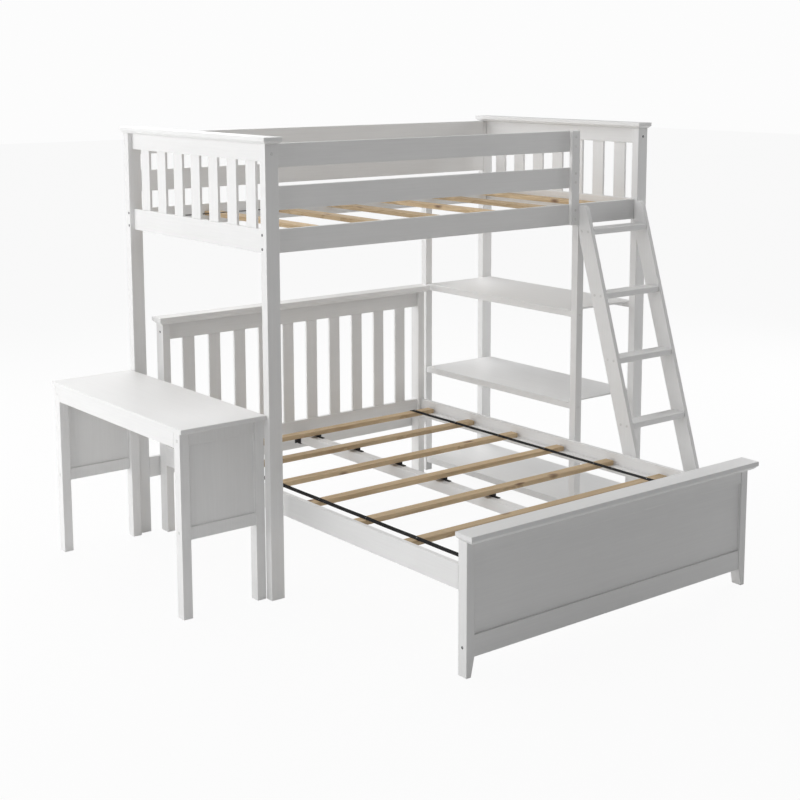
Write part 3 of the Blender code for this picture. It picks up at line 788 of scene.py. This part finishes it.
capSpots = {"tread": 0.018, "shelfUp": 0.012, "guard": 0.02, "deskIn": 0.03}
capPoints = list(endCaps)
for name, aim in (("ladder_rail_left", -1), ("ladder_rail_right", 1)):
    railLow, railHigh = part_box(name)
    x = railLow.x if aim < 0 else railHigh.x
    for i in range(5):
        tread = centre(f"ladder_tread_{i + 1}")
        for dy in (-capSpots["tread"], capSpots["tread"]):
            capPoints.append(((x, tread.y + dy, tread.z), (aim, 0, 0)))
for name in ("shelf_bottom", "shelf_middle", "shelf_top"):
    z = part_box(name)[0].z + capSpots["shelfUp"]
    for post, aim in (("bookcase_post_front", -1), ("bookcase_post_back", 1)):
        postLow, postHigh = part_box(post)
        y = postLow.y if aim < 0 else postHigh.y
        capPoints.append((((postLow.x + postHigh.x) / 2, y, z), (0, aim, 0)))
guardLow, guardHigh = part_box("guard_rail_end_post")
for name in ("guard_rail_front_upper", "guard_rail_front_lower", "loft_side_rail_front"):
    z = centre(name).z
    for dz in (-capSpots["guard"], capSpots["guard"]):
        capPoints.append((((guardLow.x + guardHigh.x) / 2, guardLow.y, z + dz), (0, -1, 0)))
scatter("loft_screw_caps", cap, whiteCap, capPoints, "loft", 9)

deskCaps = []
for place in ("front", "back"):
    legLow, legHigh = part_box(f"desk_leg_left_{place}")
    panelLow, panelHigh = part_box(f"desk_end_panel_{place}")
    for z in (panelLow.z + capSpots["deskIn"], panelHigh.z - capSpots["deskIn"]):
        deskCaps.append(((legLow.x, (legLow.y + legHigh.y) / 2, z), (-1, 0, 0)))
scatter("desk_screw_caps", cap, whiteCap, deskCaps, "desk", 10)
bpy.data.objects.remove(bolt)
bpy.data.objects.remove(cap)
print("hardware set")


padSize = {"across": 0.014, "strip": 0.0035, "beyond": 0.026, "edge": 0.0012, "apart": 0.0001}
beamLow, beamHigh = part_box("center_beam")
padHeight = firstLow.z - beamHigh.z
slatAcross = firstHigh.y - firstLow.y
strip = (padSize["across"], slatAcross + 2 * padSize["beyond"], padSize["strip"])
riser = (padSize["across"], slatAcross, padHeight - padSize["strip"] - padSize["apart"])
pad = easedBlock("pad_pattern", strip, padSize["edge"], blackRubber)
block = easedBlock("pad_block", riser, padSize["edge"], blackRubber)
pad.data.transform(Matrix.Translation((0, 0, (padSize["strip"] - padHeight) / 2)))
block.data.transform(Matrix.Translation((0, 0, (padHeight - riser[2]) / 2)))
both = bmesh.new()
both.from_mesh(pad.data)
both.from_mesh(block.data)
both.to_mesh(pad.data)
both.free()
bpy.data.objects.remove(block)
padPoints = []
for i in range(bedSlats["count"]):
    y = firstMiddle.y + i * pitchY
    padPoints.append(((beamHigh.x - padSize["across"] / 2, y, beamHigh.z + padHeight / 2), (0, 0, 1)))
scatter("beam_pads", pad, blackRubber, padPoints, "full_bed", 1, 0.0)
bpy.data.objects.remove(pad)

hangerSize = {
    "plate": 0.0025,
    "ear": 0.017,
    "shelf": 0.024,
    "above": 0.006,
    "gap": 0.0004,  # round the beam
    "apart": 0.0001,  # between two plates
    "stand": 0.0003,  # off the panel it is screwed to
    "edge": 0.0008,
}


def beamHanger(name, face, out):
    # a pressed steel stirrup: a seat under the beam, two cheeks beside it and two ears
    plate, ear, gap, apart = (hangerSize[key] for key in ("plate", "ear", "gap", "apart"))
    bm = bmesh.new()

    def slab(low, high):
        made = bmesh.ops.create_cube(bm, size=1.0)["verts"]
        low, high = Vector(low), Vector(high)
        bmesh.ops.scale(bm, vec=high - low, verts=made)
        bmesh.ops.translate(bm, vec=(low + high) / 2, verts=made)

    left, right = beamLow.x - gap, beamHigh.x + gap
    spans = sorted((face, face + out * hangerSize["shelf"]))
    thins = sorted((face, face + out * plate))
    bottom = beamLow.z - gap
    top = beamHigh.z + hangerSize["above"]
    slab((left - plate, spans[0], bottom - plate), (right + plate, spans[1], bottom))
    for x0, x1 in ((left - plate, left), (right, right + plate)):
        slab((x0, spans[0], bottom + apart), (x1, spans[1], top))
    leftEar = (left - plate - ear, left - plate - apart)
    rightEar = (right + plate + apart, right + plate + ear)
    for x0, x1 in (leftEar, rightEar):
        slab((x0, thins[0], bottom), (x1, thins[1], top))
    made = shapeOf(bm, name, boltSteel)
    soft = made.modifiers.new("pressed_edges", "BEVEL")
    soft.width = hangerSize["edge"]
    soft.segments = 2
    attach(made, "full_bed")
    return made


beamHanger("beam_hanger_head", headLow.y - hangerSize["stand"], -1)
beamHanger("beam_hanger_foot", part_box("footboard_panel")[1].y + hangerSize["stand"], 1)
print("pads and hangers fitted")


floorLook = {
    "size": 60.0,
    "light": (0.93, 0.93, 0.93, 1),
    "dark": (0.915, 0.915, 0.915, 1),
    "glow": 0.95,  # share of the plain glow that the camera sees instead of the floor
    "glowStrength": 0.985,
    "below": 0.0006,
}
bm = bmesh.new()
bmesh.ops.create_grid(bm, x_segments=1, y_segments=1, size=floorLook["size"] / 2)
ground, bench, shader, place = surface("pale_floor")
clouds = bench.noise(place, 0.6, 3.0, 0.5)
tone = bench.mix(clouds, floorLook["dark"], floorLook["light"])
dress(bench, shader, {"Base Color": tone, "Roughness": 0.7, "Specular IOR Level": 0.2})
ray = bench.node("ShaderNodeLightPath", None, None, "Is Camera Ray")
litValues = {"Color": (1, 1, 1, 1), "Strength": floorLook["glowStrength"]}
lit = bench.node("ShaderNodeEmission", None, litValues, 0)
output = ground.node_tree.nodes["Material Output"]
matt = Wire(bench.tree, shader.outputs[0])
blend = bench.node("ShaderNodeMixShader", None, {0: ray * floorLook["glow"], 1: matt, 2: lit})
bench.tree.links.new(blend.socket, output.inputs[0])
floor = shapeOf(bm, "floor", ground)
floor.location.z = -floorLook["below"]
floor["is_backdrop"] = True

studio = {"sky": 0.20, "backdrop": 0.975}
softboxes = {
    # place, what it faces, size, watts
    "left_softbox": ((-5.5, 0.4, 2.2), (0, 0, 0.8), (4.5, 3.6), 108.0),
    "left_back_softbox": ((-4.5, 3.5, 2.2), (0, 0, 1.0), (3.0, 3.0), 76.0),
    "back_softbox": ((0, 4.0, 3.6), (0, 0, 0.9), (4.5, 3.5), 126.0),
    "right_softbox": ((5.0, 0, 2.5), (0, 0, 0.8), (4.0, 3.0), 140.0),
    "top_softbox": ((-0.5, -0.3, 5.0), (0, 0, 0.6), (4.5, 4.5), 62.0),
}
world = bpy.data.worlds.new("studio")
scene.world = world
world.use_nodes = True
worldBench = Bench(world.node_tree)
backdrop = world.node_tree.nodes["Background"]
ray = worldBench.node("ShaderNodeLightPath", None, None, "Is Camera Ray")
seen = ray * (studio["backdrop"] - studio["sky"]) + studio["sky"]
feed(world.node_tree, backdrop.inputs["Strength"], seen)
backdrop.inputs["Color"].default_value = (1, 1, 1, 1)


def softbox(name, place, target, size, power):
    light = bpy.data.lights.new(name, "AREA")
    light.shape = "RECTANGLE"
    light.size, light.size_y = size
    light.energy = power
    made = bpy.data.objects.new(name, light)
    made.location = place
    made.rotation_euler = (Vector(target) - Vector(place)).to_track_quat("-Z", "Y").to_euler()
    made.visible_camera = False
    scene.collection.objects.link(made)


for name, (place, target, size, power) in softboxes.items():
    softbox(name, place, target, size, power)
print("floor and lights set")

low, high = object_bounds()
